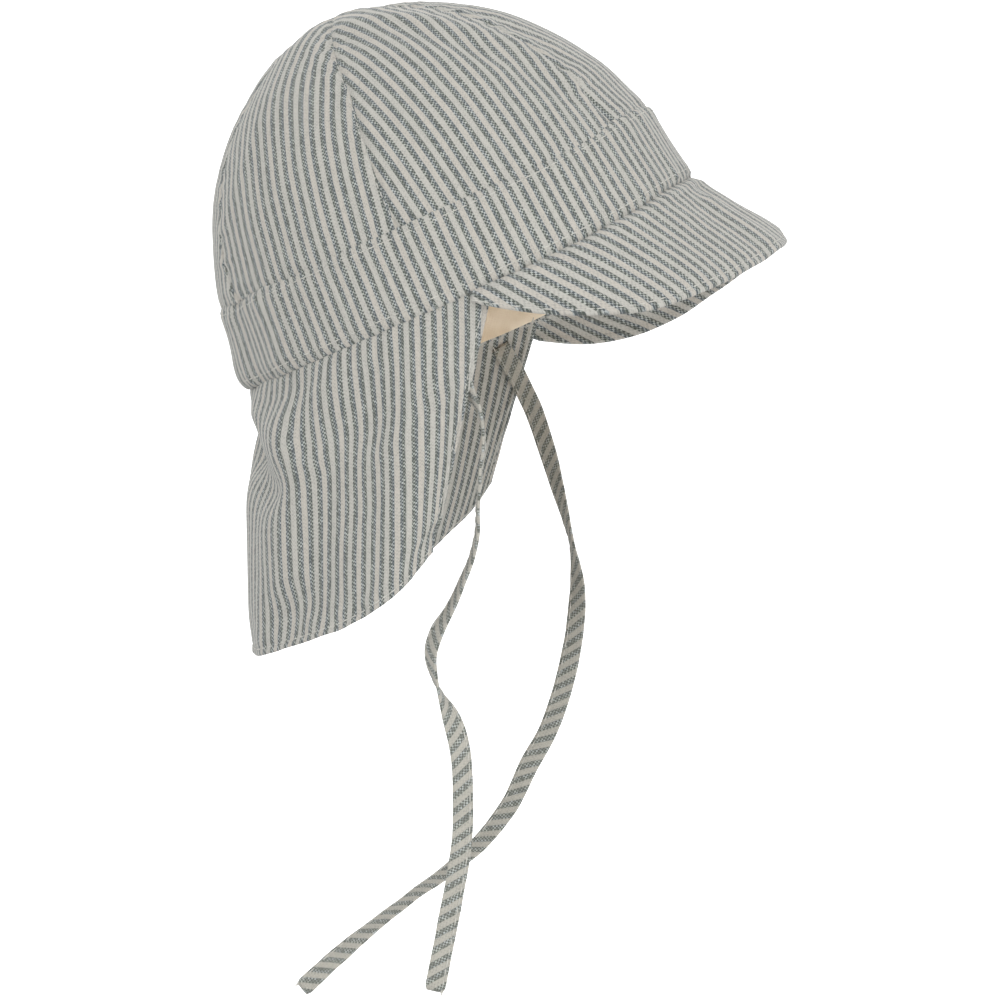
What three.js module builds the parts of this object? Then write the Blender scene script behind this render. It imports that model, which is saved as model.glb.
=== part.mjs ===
// Infant's cotton sun hat: six-gore crown, band, drooping peak, neck flap, lining and two flat ties.
// Millimetres, +Z up. The origin is the centre of the head opening. The hat's front faces -Y, the
// wearer's right is -X, and the hat leans back on the head, so its front edge is lifted.
import * as THREE from "three";
import { mergeVertices } from "three/addons/utils/BufferGeometryUtils.js";

// Head opening, band and crown
const HALF_LENGTH = 85;
const HALF_WIDTH = 71;
const HEAD_TILT = 25.7;
const SIDE_DIP = 15;
const BAND_HEIGHT = 28.5;
const BAND_TAPER = 3.2;
const CROWN_HEIGHT = 102.2;
const APEX_BACK = 2.3;
const GORE_COUNT = 6;
const SEAM_SINK = 1.4;
const SEAM_SHARE_AT_BAND = 0.3;
const SEAM_GROWTH = 3;
const SEAM_TIP_GROWTH = 4;

// Peak, flap and ties
const PEAK_DEPTH = 39;
const PEAK_END = 86;
const FLAP_DROP = 92;
const FLAP_START_RIGHT = 80.5;
const FLAP_START_LEFT = 82.5;
const FLAP_HALF_WIDTH = 66;
const FLAP_HALF_LENGTH = 71.5;
const TIE_WIDTH = 7;

// Cloth walls and the clearances between pieces
const GAP = 0.3;
const BAND_WALL = 2.2;
const CROWN_WALL = 1.2;
const CROWN_INSET = 0.4;
const LINING_WALL = 1;
const PEAK_WALL = 1.8;
const PEAK_PROUD = 0.7;
const FLAP_WALL = 1.2;
const FLAP_INSET = PEAK_WALL - PEAK_PROUD + GAP;
const TIE_WALL = 1.2;

// How finely each piece is divided
const GORE_COLUMNS = 8;
const BAND_COLUMNS = 60;
const BAND_ROWS = 3;
const LINING_COLUMNS = 40;
const LINING_BAND_ROWS = 2;
const PEAK_COLUMNS = 40;
const PEAK_ROWS = 7;
const FLAP_COLUMNS = 56;
const FLAP_ROWS = 16;
const TIE_STEPS = 3;
const ANGLE_STEP = 0.4;
const ROW_STEP = 0.1;
const SHARE_STEP = 0.01;
const WELD = 1e-3;

// How far the opening's edge dips, by angle from the front, as a share of SIDE_DIP
const DIP = [
  { angle: 0, dip: 0.2 },
  { angle: 20, dip: 0.44 },
  { angle: 45, dip: 0.82 },
  { angle: 70, dip: 1.0 },
  { angle: 100, dip: 0.91 },
  { angle: 140, dip: 0.54 },
  { angle: 180, dip: 0.03 },
];

// Crown section by height above the band, with its reach at the front, side and back as shares
const CROWN = [
  { row: 0, rise: 0, front: 1, side: 1, back: 1 },
  { row: 1, rise: 0.12, front: 0.962, side: 0.965, back: 0.971 },
  { row: 2, rise: 0.27, front: 0.912, side: 0.915, back: 0.919 },
  { row: 3, rise: 0.42, front: 0.83, side: 0.845, back: 0.851 },
  { row: 4, rise: 0.57, front: 0.726, side: 0.75, back: 0.759 },
  { row: 5, rise: 0.71, front: 0.6, side: 0.63, back: 0.639 },
  { row: 6, rise: 0.83, front: 0.44, side: 0.48, back: 0.494 },
  { row: 7, rise: 0.92, front: 0.27, side: 0.32, back: 0.354 },
  { row: 8, rise: 0.975, front: 0.115, side: 0.155, back: 0.19 },
  { row: 9, rise: 1, front: 0, side: 0, back: 0 },
];
const CROWN_ROWS = 9;
const GORE_TIP = 8.8;
const LEVEL_TOP = 0.15;

// Peak by angle from the front: reach outwards and fall below the band, as shares of PEAK_DEPTH
const PEAK = [
  { angle: 0, reachRight: 0.49, fallRight: 0.87, reachLeft: 0.49, fallLeft: 0.87 },
  { angle: 15, reachRight: 0.44, fallRight: 0.91, reachLeft: 0.52, fallLeft: 0.7 },
  { angle: 30, reachRight: 0.4, fallRight: 0.91, reachLeft: 0.54, fallLeft: 0.59 },
  { angle: 45, reachRight: 0.36, fallRight: 0.86, reachLeft: 0.5, fallLeft: 0.56 },
  { angle: 55, reachRight: 0.3, fallRight: 0.79, reachLeft: 0.42, fallLeft: 0.55 },
  { angle: 65, reachRight: 0.21, fallRight: 0.62, reachLeft: 0.3, fallLeft: 0.5 },
  { angle: 75, reachRight: 0.12, fallRight: 0.4, reachLeft: 0.16, fallLeft: 0.38 },
  { angle: 86, reachRight: 0.03, fallRight: 0.1, reachLeft: 0.04, fallLeft: 0.14 },
];
const PEAK_BEND = 0.1;

// Flap by place across, -1 at the wearer's right front edge, 0 at the back and 1 at the left
// front edge. Drop and flare are shares of FLAP_DROP. The corners are the hem's plan angles there.
const HEM = [
  { across: -1, drop: 0.955, flare: -0.03 },
  { across: -0.9, drop: 1.03, flare: -0.03 },
  { across: -0.75, drop: 1.05, flare: -0.02 },
  { across: -0.5, drop: 1.017, flare: 0 },
  { across: -0.15, drop: 0.985, flare: 0 },
  { across: 0, drop: 0.945, flare: -0.01 },
  { across: 0.4, drop: 0.93, flare: 0.04 },
  { across: 0.6, drop: 0.89, flare: 0.09 },
  { across: 0.8, drop: 0.825, flare: 0.13 },
  { across: 0.9, drop: 0.76, flare: 0.15 },
  { across: 0.96, drop: 0.7, flare: 0.16 },
  { across: 1, drop: 0.64, flare: 0.16 },
];
const CORNER_RIGHT = 91.6;
const CORNER_LEFT = 91.7;

// Folds of the flap: a ridge (or with a negative height a dent) along a line from one place across
// and down to another. Width is a share of the flap's depth, height a share of FLAP_DROP.
const FOLDS = [
  { across: -0.02, down: 0.1, toAcross: -0.16, toDown: 0.42, width: 0.13, height: -0.055 },
  { across: -0.1, down: 0.02, toAcross: -0.36, toDown: 0.38, width: 0.1, height: 0.03 },
  { across: -0.08, down: 0.5, toAcross: -0.12, toDown: 0.75, width: 0.2, height: 0.02 },
  { across: -0.62, down: 0.35, toAcross: -0.55, toDown: 0.85, width: 0.13, height: -0.03 },
  { across: -0.92, down: 0.4, toAcross: -0.98, toDown: 0.85, width: 0.08, height: -0.035 },
  { across: -0.82, down: 0.45, toAcross: -0.88, toDown: 0.95, width: 0.09, height: 0.03 },
  { across: 0.3, down: 0.3, toAcross: 0.24, toDown: 1, width: 0.16, height: -0.04 },
  { across: 0.62, down: 0.4, toAcross: 0.6, toDown: 1, width: 0.15, height: 0.035 },
];

// The folds fade out above this share of the drop, where the flap is sewn to the band
const FOLD_FADE = 0.12;

// Routes of the two ties, down from where each is sewn inside the flap. Turn is the twist of the
// flat tie about its length: 0 has its flat side facing sideways, 90 has it edge on.
const TIE_RIGHT = [
  { x: -64.5, y: -7.6, z: -36, turn: 0 },
  { x: -63.6, y: -10.8, z: -43, turn: 10 },
  { x: -62.5, y: -13.7, z: -50, turn: 60 },
  { x: -61.5, y: -15, z: -59, turn: 84 },
  { x: -61, y: -13.9, z: -69.5, turn: 84 },
  { x: -60, y: -12.9, z: -80.6, turn: 78 },
  { x: -59, y: -12.2, z: -91.3, turn: 72 },
  { x: -57.5, y: -8.5, z: -102.5, turn: 66 },
  { x: -56, y: -2.6, z: -114.8, turn: 56 },
  { x: -55, y: 1.6, z: -122, turn: 40 },
  { x: -54, y: 3.7, z: -131, turn: 52 },
  { x: -53, y: 1, z: -140.7, turn: 86 },
  { x: -52.3, y: -3, z: -150, turn: 140 },
  { x: -51.3, y: -5.8, z: -161, turn: 165 },
  { x: -50, y: -6.5, z: -176.8, turn: 180 },
  { x: -49, y: -5.9, z: -191, turn: 180 },
  { x: -48.2, y: -3.4, z: -206, turn: 180 },
  { x: -47.5, y: 0, z: -223, turn: 180 },
  { x: -47, y: 3.4, z: -239.8, turn: 180 },
];
const TIE_LEFT = [
  { x: 67.8, y: -2.6, z: -19, turn: 0 },
  { x: 68.7, y: -7, z: -26.3, turn: 0 },
  { x: 69.1, y: -11.2, z: -34.7, turn: 4 },
  { x: 68.2, y: -14.7, z: -42, turn: 8 },
  { x: 65.5, y: -19.9, z: -56.3, turn: 20 },
  { x: 63, y: -23.8, z: -69, turn: 40 },
  { x: 60.5, y: -27.4, z: -81.2, turn: 62 },
  { x: 58.5, y: -29.9, z: -91.2, turn: 72 },
  { x: 56.5, y: -31.9, z: -104, turn: 40 },
  { x: 54, y: -31.8, z: -118, turn: 14 },
  { x: 51.5, y: -28.5, z: -138, turn: 0 },
  { x: 49, y: -22.6, z: -156.7, turn: 0 },
  { x: 47, y: -15.8, z: -169.4, turn: 0 },
  { x: 45, y: -9.4, z: -183, turn: 12 },
  { x: 42.5, y: 0, z: -195.5, turn: 30 },
  { x: 40, y: 11, z: -205.5, turn: 46 },
  { x: 37.5, y: 23, z: -214.3, turn: 56 },
  { x: 35.5, y: 35.7, z: -224.1, turn: 50 },
  { x: 33.5, y: 50, z: -236, turn: 30 },
  { x: 32, y: 63, z: -248, turn: 12 },
];

const COTTON = { color: 0xa9a9a2, roughness: 0.92 };
const CREAM = { color: 0xd6c6a8, roughness: 0.95 };

const radians = THREE.MathUtils.degToRad;
const lerp = THREE.MathUtils.lerp;

// Value of one column of a table at a place between its rows, on a smooth curve through them
function between(rows, by, column, at) {
  const last = rows.length - 1;
  const place = THREE.MathUtils.clamp(at, rows[0][by], rows[last][by]);
  let low = 0;
  while (low < last - 1 && place > rows[low + 1][by]) {
    low += 1;
  }
  const slope = (index) => {
    const before = rows[Math.max(index - 1, 0)];
    const after = rows[Math.min(index + 1, last)];
    return (after[column] - before[column]) / (after[by] - before[by]);
  };
  const span = rows[low + 1][by] - rows[low][by];
  const t = (place - rows[low][by]) / span;
  const blend = t * t * (3 - 2 * t);
  const rise = span * t * (1 - t) * ((1 - t) * slope(low) - t * slope(low + 1));
  return lerp(rows[low][column], rows[low + 1][column], blend) + rise;
}

// Wearer's right is a positive angle from the front. All hat points are in the hat's own frame.
function openingDip(angle) {
  const turned = THREE.MathUtils.euclideanModulo(angle + 180, 360) - 180;
  return SIDE_DIP * between(DIP, "angle", "dip", Math.abs(turned));
}

function ringPoint(angle, halfLength, halfWidth, height) {
  const turn = radians(angle);
  return new THREE.Vector3(-halfWidth * Math.sin(turn), -halfLength * Math.cos(turn), height);
}

// Outer surface of the band, level 0 at its lower edge and 1 at its upper edge
function bandPoint(angle, level, inset) {
  const taper = BAND_TAPER * level + inset;
  const height = BAND_HEIGHT * level - openingDip(angle);
  return ringPoint(angle, HALF_LENGTH - taper, HALF_WIDTH - taper, height);
}

function crownReach(angle, row) {
  const facing = Math.cos(radians(angle));
  const end = facing > 0 ? "front" : "back";
  const side = between(CROWN, "row", "side", row);
  return lerp(side, between(CROWN, "row", end, row), facing * facing);
}

// Outer surface of the crown before its wall is set in, sunk along the seams between the gores
function crownSurface(angle, row) {
  const rim = bandPoint(angle, 1, 0);
  const reach = crownReach(angle, row);
  const rise = between(CROWN, "row", "rise", row);
  const point = new THREE.Vector3(rim.x * reach, lerp(APEX_BACK, rim.y, reach), 0);
  point.z = lerp(rim.z, CROWN_HEIGHT, rise);
  const atSeam = (1 - Math.cos(radians(GORE_COUNT * angle))) / 2;
  const grown = Math.min(1, SEAM_GROWTH * (1 - reach) + SEAM_SHARE_AT_BAND);
  const sink = SEAM_SINK * atSeam * grown * Math.min(1, SEAM_TIP_GROWTH * reach);
  const outward = new THREE.Vector3(rim.x, rim.y, rim.length() * rise).normalize();
  return point.addScaledVector(outward, -sink);
}

// Unit normal of a surface given as a function of two values, turned to face away from a point
function normalOf(surface, u, v, stepU, stepV, centre) {
  const here = surface(u, v);
  const along = surface(u + stepU, v).sub(surface(u - stepU, v));
  const down = surface(u, v + stepV).sub(surface(u, v - stepV));
  const normal = along.cross(down).normalize();
  if (normal.dot(here.sub(centre)) < 0) {
    normal.negate();
  }
  return normal;
}

const HAT_CENTRE = new THREE.Vector3(0, APEX_BACK, 0);

function crownPoint(angle, row, inset) {
  const top = CROWN_ROWS - LEVEL_TOP;
  const below = Math.min(row, top);
  const normal = normalOf(crownSurface, angle, below, ANGLE_STEP, ROW_STEP, HAT_CENTRE);
  if (row > top) {
    normal.set(0, 0, 1);
  }
  const point = crownSurface(angle, row).addScaledVector(normal, -inset);
  if (row === 0) {
    point.z = crownSurface(angle, 0).z;
  }
  return point;
}

// Closed wall of cloth from an outer and an inner sheet of points, with the edges joined.
// A wrapped sheet closes on itself. A row drawn to one point closes there.
function clothSolid(name, look, { rows, columns, wrap = false, outer, inner }) {
  const positions = [];
  const indices = [];
  const width = wrap ? columns : columns + 1;
  for (const layer of [outer, inner]) {
    for (let r = 0; r <= rows; r += 1) {
      for (let c = 0; c < width; c += 1) {
        positions.push(...layer(r, c).toArray());
      }
    }
  }
  const layerSize = (rows + 1) * width;
  const at = (layer, r, c) => layer * layerSize + r * width + (c % width);
  const quad = (a, b, c, d) => indices.push(a, b, c, a, c, d);
  for (let r = 0; r < rows; r += 1) {
    for (let c = 0; c < columns; c += 1) {
      quad(at(0, r, c), at(0, r, c + 1), at(0, r + 1, c + 1), at(0, r + 1, c));
      quad(at(1, r, c), at(1, r + 1, c), at(1, r + 1, c + 1), at(1, r, c + 1));
    }
  }
  for (let c = 0; c < columns; c += 1) {
    quad(at(0, 0, c + 1), at(0, 0, c), at(1, 0, c), at(1, 0, c + 1));
    quad(at(0, rows, c), at(0, rows, c + 1), at(1, rows, c + 1), at(1, rows, c));
  }
  for (let r = 0; r < rows && !wrap; r += 1) {
    quad(at(0, r, 0), at(0, r + 1, 0), at(1, r + 1, 0), at(1, r, 0));
    quad(at(0, r + 1, columns), at(0, r, columns), at(1, r, columns), at(1, r + 1, columns));
  }
  return closedMesh(name, look, positions, indices);
}

// Mesh with shared corners welded, triangles of no area left out and faces pointing out
function closedMesh(name, look, positions, indices) {
  const loose = new THREE.BufferGeometry();
  loose.setAttribute("position", new THREE.Float32BufferAttribute(positions, 3));
  loose.setIndex(indices);
  const geometry = mergeVertices(loose, WELD);
  const corners = geometry.getIndex().array;
  const kept = [];
  for (let i = 0; i < corners.length; i += 3) {
    const [a, b, c] = corners.slice(i, i + 3);
    if (a !== b && b !== c && c !== a) {
      kept.push(a, b, c);
    }
  }
  if (signedVolume(geometry.getAttribute("position"), kept) < 0) {
    kept.reverse();
  }
  geometry.setIndex(kept);
  geometry.computeVertexNormals();
  const material = new THREE.MeshStandardMaterial({ ...look, metalness: 0 });
  const mesh = new THREE.Mesh(geometry, material);
  mesh.name = name;
  return mesh;
}

function signedVolume(points, corners) {
  const [a, b, c] = [new THREE.Vector3(), new THREE.Vector3(), new THREE.Vector3()];
  let volume = 0;
  for (let i = 0; i < corners.length; i += 3) {
    a.fromBufferAttribute(points, corners[i]);
    b.fromBufferAttribute(points, corners[i + 1]);
    c.fromBufferAttribute(points, corners[i + 2]);
    volume += a.dot(b.cross(c)) / 6;
  }
  return volume;
}

// One gore of the crown, from seam to seam with half the gap at each edge
function crownPanel(index) {
  const rowAt = (r) => (r === CROWN_ROWS ? GORE_TIP : r);
  const step = 360 / GORE_COUNT;
  const angleAt = (r, c) => {
    const centre = index * step;
    const radius = HALF_WIDTH * crownReach(centre, rowAt(r));
    const half = step / 2 - THREE.MathUtils.radToDeg(GAP / radius);
    return centre + half * ((2 * c) / GORE_COLUMNS - 1);
  };
  const sheet = (inset) => (r, c) => {
    const point = crownPoint(angleAt(r, c), rowAt(r), inset);
    point.z += r === 0 ? GAP : 0;
    return point;
  };
  return clothSolid(`crown_panel_${index + 1}`, COTTON, {
    rows: CROWN_ROWS,
    columns: GORE_COLUMNS,
    outer: sheet(CROWN_INSET),
    inner: sheet(CROWN_INSET + CROWN_WALL),
  });
}

function band() {
  const angleAt = (c) => (360 * c) / BAND_COLUMNS - 180;
  const sheet = (inset) => (r, c) => bandPoint(angleAt(c), r / BAND_ROWS, inset);
  return clothSolid("band", COTTON, {
    rows: BAND_ROWS,
    columns: BAND_COLUMNS,
    wrap: true,
    outer: sheet(0),
    inner: sheet(BAND_WALL),
  });
}

// The lining backs the band and, above it, the crown
function lining() {
  const outset = BAND_WALL + GAP;
  const sheet = (inset) => (r, c) => {
    const angle = (360 * c) / LINING_COLUMNS - 180;
    if (r < LINING_BAND_ROWS) {
      return bandPoint(angle, r / LINING_BAND_ROWS, inset);
    }
    return crownPoint(angle, r - LINING_BAND_ROWS + 1, inset);
  };
  return clothSolid("lining", CREAM, {
    rows: CROWN_ROWS + LINING_BAND_ROWS - 1,
    columns: LINING_COLUMNS,
    wrap: true,
    outer: sheet(outset),
    inner: sheet(outset + LINING_WALL),
  });
}

// Top surface of the peak, out 0 at the band and 1 at the peak's edge
function peakSurface(angle, out) {
  const side = angle > 0 ? "Right" : "Left";
  const reach = PEAK_DEPTH * between(PEAK, "angle", `reach${side}`, Math.abs(angle));
  const fall = PEAK_DEPTH * between(PEAK, "angle", `fall${side}`, Math.abs(angle));
  const point = bandPoint(angle, 0, -PEAK_PROUD);
  const turn = radians(angle);
  const outward = new THREE.Vector3(-Math.sin(turn) / HALF_WIDTH, -Math.cos(turn) / HALF_LENGTH, 0);
  const bow = PEAK_BEND * out * (1 - out);
  point.addScaledVector(outward.normalize(), reach * out + fall * bow);
  point.z -= GAP + fall * out - reach * bow;
  return point;
}

function peak() {
  const angleAt = (c) => PEAK_END * ((2 * c) / PEAK_COLUMNS - 1);
  const outer = (r, c) => peakSurface(angleAt(c), r / PEAK_ROWS);
  const inner = (r, c) => {
    const out = r / PEAK_ROWS;
    const normal = normalOf(peakSurface, angleAt(c), out, ANGLE_STEP, SHARE_STEP, HAT_CENTRE);
    return outer(r, c).addScaledVector(normal, -PEAK_WALL);
  };
  const divisions = { rows: PEAK_ROWS, columns: PEAK_COLUMNS };
  return clothSolid("peak", COTTON, { ...divisions, outer, inner });
}

function leanBack(point) {
  return point.applyAxisAngle(new THREE.Vector3(1, 0, 0), -radians(HEAD_TILT));
}

// Height of the flap's folds at a place, from each fold's distance to its line
function foldHeight(across, down) {
  let height = 0;
  for (const fold of FOLDS) {
    const alongX = fold.toAcross - fold.across;
    const alongY = fold.toDown - fold.down;
    const offX = across - fold.across;
    const offY = down - fold.down;
    const share = (offX * alongX + offY * alongY) / (alongX * alongX + alongY * alongY);
    const near = THREE.MathUtils.clamp(share, 0, 1);
    const away = Math.hypot(offX - near * alongX, offY - near * alongY) / fold.width;
    height += fold.height * FLAP_DROP * Math.exp(-away * away);
  }
  return height * Math.min(1, down / FOLD_FADE);
}

// The flap's seam just below the band, inside the ends of the peak
function flapSeam(across, inset) {
  const start = across < 0 ? FLAP_START_RIGHT : FLAP_START_LEFT;
  const angle = 180 - (180 - start) * Math.abs(across);
  const point = bandPoint(across < 0 ? angle : -angle, 0, FLAP_INSET + inset);
  point.z -= GAP;
  return leanBack(point);
}

// Middle of the flap's cloth, which hangs down from its seam
function flapSurface(across, down) {
  const corner = across < 0 ? CORNER_RIGHT : CORNER_LEFT;
  const turned = across < 0 ? 1 : -1;
  const hemAngle = radians(180 - (180 - corner) * Math.abs(across));
  const top = flapSeam(across, FLAP_WALL / 2);
  const flare = FLAP_DROP * between(HEM, "across", "flare", across) * down;
  const plan = new THREE.Vector3(-turned * Math.sin(hemAngle), -Math.cos(hemAngle), 0);
  const bottom = new THREE.Vector3(plan.x * FLAP_HALF_WIDTH, plan.y * FLAP_HALF_LENGTH, 0);
  bottom.z = top.z - FLAP_DROP * between(HEM, "across", "drop", across);
  return top.lerp(bottom, down).addScaledVector(plan, flare + foldHeight(across, down));
}

function neckFlap() {
  const acrossAt = (c) => (2 * c) / FLAP_COLUMNS - 1;
  const sheet = (side) => (r, c) => {
    if (r === 0) {
      return flapSeam(acrossAt(c), side > 0 ? 0 : FLAP_WALL);
    }
    const down = r / FLAP_ROWS;
    const middle = flapSurface(acrossAt(c), down);
    const axis = new THREE.Vector3(0, 0, middle.z);
    const normal = normalOf(flapSurface, acrossAt(c), down, SHARE_STEP, SHARE_STEP, axis);
    return middle.addScaledVector(normal, (side * FLAP_WALL) / 2);
  };
  const divisions = { rows: FLAP_ROWS, columns: FLAP_COLUMNS };
  return clothSolid("neck_flap", COTTON, { ...divisions, outer: sheet(1), inner: sheet(-1) });
}

// Flat tie along its route: a curve through the points, with the table's turn along it
function tie(name, route) {
  const curve = new THREE.CatmullRomCurve3(route.map((p) => new THREE.Vector3(p.x, p.y, p.z)));
  const rows = TIE_STEPS * (route.length - 1);
  const sideways = new THREE.Vector3(1, 0, 0);
  const corner = (r, c, side) => {
    const share = r / rows;
    const tangent = curve.getTangent(share);
    const turns = route.map((p, index) => ({ at: index, turn: p.turn }));
    const turn = radians(between(turns, "at", "turn", share * (route.length - 1)));
    const flat = sideways.clone().cross(tangent).normalize();
    const thick = flat.clone().cross(tangent).normalize();
    flat.applyAxisAngle(tangent, turn);
    thick.applyAxisAngle(tangent, turn);
    const point = curve.getPoint(share);
    point.addScaledVector(flat, TIE_WIDTH * (c - 0.5));
    return point.addScaledVector(thick, (side * TIE_WALL) / 2);
  };
  return clothSolid(name, COTTON, {
    rows,
    columns: 1,
    outer: (r, c) => corner(r, c, 1),
    inner: (r, c) => corner(r, c, -1),
  });
}

const head = new THREE.Group();
head.rotation.x = -radians(HEAD_TILT);
for (let index = 0; index < GORE_COUNT; index += 1) {
  head.add(crownPanel(index));
}
head.add(band(), lining(), peak());

const hat = new THREE.Group();
hat.add(head, neckFlap(), tie("tie_right", TIE_RIGHT), tie("tie_left", TIE_LEFT));

export default hat;
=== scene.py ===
# Infant's cotton sun hat in a narrow woven stripe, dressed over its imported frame. Metres, +Z up, the
# hat's front faces -Y and the wearer's right is -X. Angles go from the front towards the wearer's right.
import math

import bpy
import numpy as np
from mathutils import Matrix, Vector


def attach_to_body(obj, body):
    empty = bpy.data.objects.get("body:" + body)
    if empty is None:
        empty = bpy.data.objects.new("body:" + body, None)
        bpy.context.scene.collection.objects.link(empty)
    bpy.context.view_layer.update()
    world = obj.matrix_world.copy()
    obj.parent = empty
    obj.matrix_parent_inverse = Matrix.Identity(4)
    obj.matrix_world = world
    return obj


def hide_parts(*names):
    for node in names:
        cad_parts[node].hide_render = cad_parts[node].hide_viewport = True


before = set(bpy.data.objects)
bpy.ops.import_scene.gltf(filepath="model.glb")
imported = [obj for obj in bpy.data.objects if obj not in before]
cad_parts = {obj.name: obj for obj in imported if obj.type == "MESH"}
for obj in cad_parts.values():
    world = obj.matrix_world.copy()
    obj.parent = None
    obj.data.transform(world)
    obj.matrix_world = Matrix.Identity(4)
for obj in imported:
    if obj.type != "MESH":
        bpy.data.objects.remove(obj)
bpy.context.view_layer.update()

# Head opening, band and crown, as the frame has them
HALF_LENGTH = 0.085
HALF_WIDTH = 0.071
HEAD_TILT = math.radians(25.7)
SIDE_DIP = 0.015
BAND_HEIGHT = 0.0285
BAND_TAPER = 0.0032
CROWN_HEIGHT = 0.1022
APEX_BACK = 0.0023
GORE_COUNT = 6
SEAM_SINK = 0.0014
SEAM_SHARE_AT_BAND = 0.3
SEAM_GROWTH = 3
SEAM_TIP_GROWTH = 4
GORE_TIP = 8.97

# Peak, flap and ties
PEAK_DEPTH = 0.039
PEAK_END = 86
PEAK_BEND = 0.1
FLAP_DROP = 0.092
FLAP_START_RIGHT = 80.5
FLAP_START_LEFT = 82.5
FLAP_HALF_WIDTH = 0.066
FLAP_HALF_LENGTH = 0.0715
CORNER_RIGHT = 91.6
CORNER_LEFT = 91.7
FOLD_FADE = 0.12
TIE_WIDTH = 0.007

# Cloth walls
GAP = 0.0003
BAND_WALL = 0.0022
CROWN_WALL = 0.0012
CROWN_INSET = 0.0004
LINING_WALL = 0.001
PEAK_WALL = 0.0018
PEAK_PROUD = 0.0007
FLAP_WALL = 0.0012
FLAP_INSET = PEAK_WALL - PEAK_PROUD + GAP
TIE_WALL = 0.0012

# Woven stripe: one dark and one light stripe make a repeat, and one thread lies every THREAD
STRIPE_REPEAT = 0.004
THREAD = 0.00064
STITCH_PITCH = 0.0034
STITCH_LENGTH = 0.0028
STITCH_WIDTH = 0.0004


def table(columns, *rows):
    """Columns of a short table by name, as arrays."""
    return {name: np.array([row[i] for row in rows], float) for i, name in enumerate(columns.split())}


DIP = table(
    "angle dip", (0, 0.2), (20, 0.44), (45, 0.82), (70, 1.0), (100, 0.91), (140, 0.54), (180, 0.03)
)
CROWN = table(
    "row rise front side back",
    (0, 0, 1, 1, 1),
    (1, 0.12, 0.962, 0.965, 0.971),
    (2, 0.27, 0.912, 0.915, 0.919),
    (3, 0.42, 0.83, 0.845, 0.851),
    (4, 0.57, 0.726, 0.75, 0.759),
    (5, 0.71, 0.6, 0.63, 0.639),
    (6, 0.83, 0.44, 0.48, 0.494),
    (7, 0.92, 0.27, 0.32, 0.354),
    (8, 0.975, 0.115, 0.155, 0.19),
    (9, 1, 0, 0, 0),
)
PEAK = table(
    "angle reachRight fallRight reachLeft fallLeft",
    (0, 0.49, 0.87, 0.49, 0.87),
    (15, 0.44, 0.91, 0.52, 0.7),
    (30, 0.4, 0.91, 0.54, 0.59),
    (45, 0.36, 0.86, 0.5, 0.56),
    (55, 0.3, 0.79, 0.42, 0.55),
    (65, 0.21, 0.62, 0.3, 0.5),
    (75, 0.12, 0.4, 0.16, 0.38),
    (86, 0.03, 0.1, 0.04, 0.14),
)
HEM = table(
    "across drop flare",
    (-1, 0.955, -0.03),
    (-0.9, 1.03, -0.03),
    (-0.75, 1.05, -0.02),
    (-0.5, 1.017, 0),
    (-0.15, 0.985, 0),
    (0, 0.945, -0.01),
    (0.4, 0.93, 0.04),
    (0.6, 0.89, 0.09),
    (0.8, 0.825, 0.13),
    (0.9, 0.76, 0.15),
    (0.96, 0.7, 0.16),
    (1, 0.64, 0.16),
)

# Folds along a line from one place (across, down) to another, width and height as shares
FOLD_COLUMNS = "across down toAcross toDown width height"
FOLDS = table(
    FOLD_COLUMNS,
    (0.03, 0.05, -0.14, 0.23, 0.1, -0.042),
    (-0.15, 0.27, -0.36, 0.42, 0.075, -0.036),
    (-0.22, 0.1, -0.44, 0.28, 0.08, 0.03),
    (-0.44, 0.2, -0.46, 0.75, 0.09, 0.035),
    (-0.08, 0.5, -0.12, 0.8, 0.2, 0.025),
    (-0.62, 0.35, -0.55, 0.85, 0.13, -0.03),
    (-0.92, 0.4, -0.98, 0.85, 0.08, -0.035),
    (-0.82, 0.45, -0.88, 0.95, 0.09, 0.03),
    (0.3, 0.3, 0.24, 1, 0.16, -0.04),
    (0.62, 0.4, 0.6, 1, 0.15, 0.035),
)
# Smaller creases of the flap, on top of the folds above
FLAP_CREASES = table(
    FOLD_COLUMNS,
    (-0.47, 0.05, -0.5, 0.3, 0.05, -0.014),
    (-0.56, 0.05, -0.56, 0.35, 0.05, 0.012),
    (-0.34, 0.5, -0.32, 0.95, 0.06, 0.012),
    (-0.5, 0.45, -0.48, 0.95, 0.07, -0.008),
    (-0.72, 0.15, -0.76, 0.6, 0.05, -0.008),
    (-0.78, 0.5, -0.8, 0.9, 0.04, -0.008),
    (0.45, 0.3, 0.44, 0.9, 0.06, 0.014),
    (0.8, 0.3, 0.82, 0.9, 0.05, -0.014),
    (0.12, 0.3, 0.1, 0.9, 0.06, 0.014),
)
# Creases of the crown, places as angle from the front and row, width in rows, height in metres
CROWN_CREASES = table(
    FOLD_COLUMNS,
    (52, 5.5, 35, 3.6, 0.4, 0.0012),
    (66, 5.6, 47, 3.4, 0.4, -0.0011),
    (80, 6.9, 58, 5.9, 0.35, 0.0008),
    (86, 6.2, 72, 5.2, 0.35, -0.0007),
    (36, 3.2, 31, 1.6, 0.35, 0.001),
    (42, 2.6, 36, 1.4, 0.35, -0.0007),
    (22, 5.0, 24, 2.6, 0.35, -0.0009),
    (130, 4.6, 146, 2.4, 0.3, 0.0006),
    (104, 6.4, 96, 4.8, 0.3, 0.0007),
)
# How far two seams drift back from their places round the crown, in degrees by row
SEAM_DRIFT = {
    150: table("row drift", (0, 0), (1.5, 5), (4, 10), (7, 9), (9, 0)),
    90: table("row drift", (0, 5), (2, 5), (4, 3.6), (6, 4.2), (8, 3), (9, 0)),
}
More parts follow.
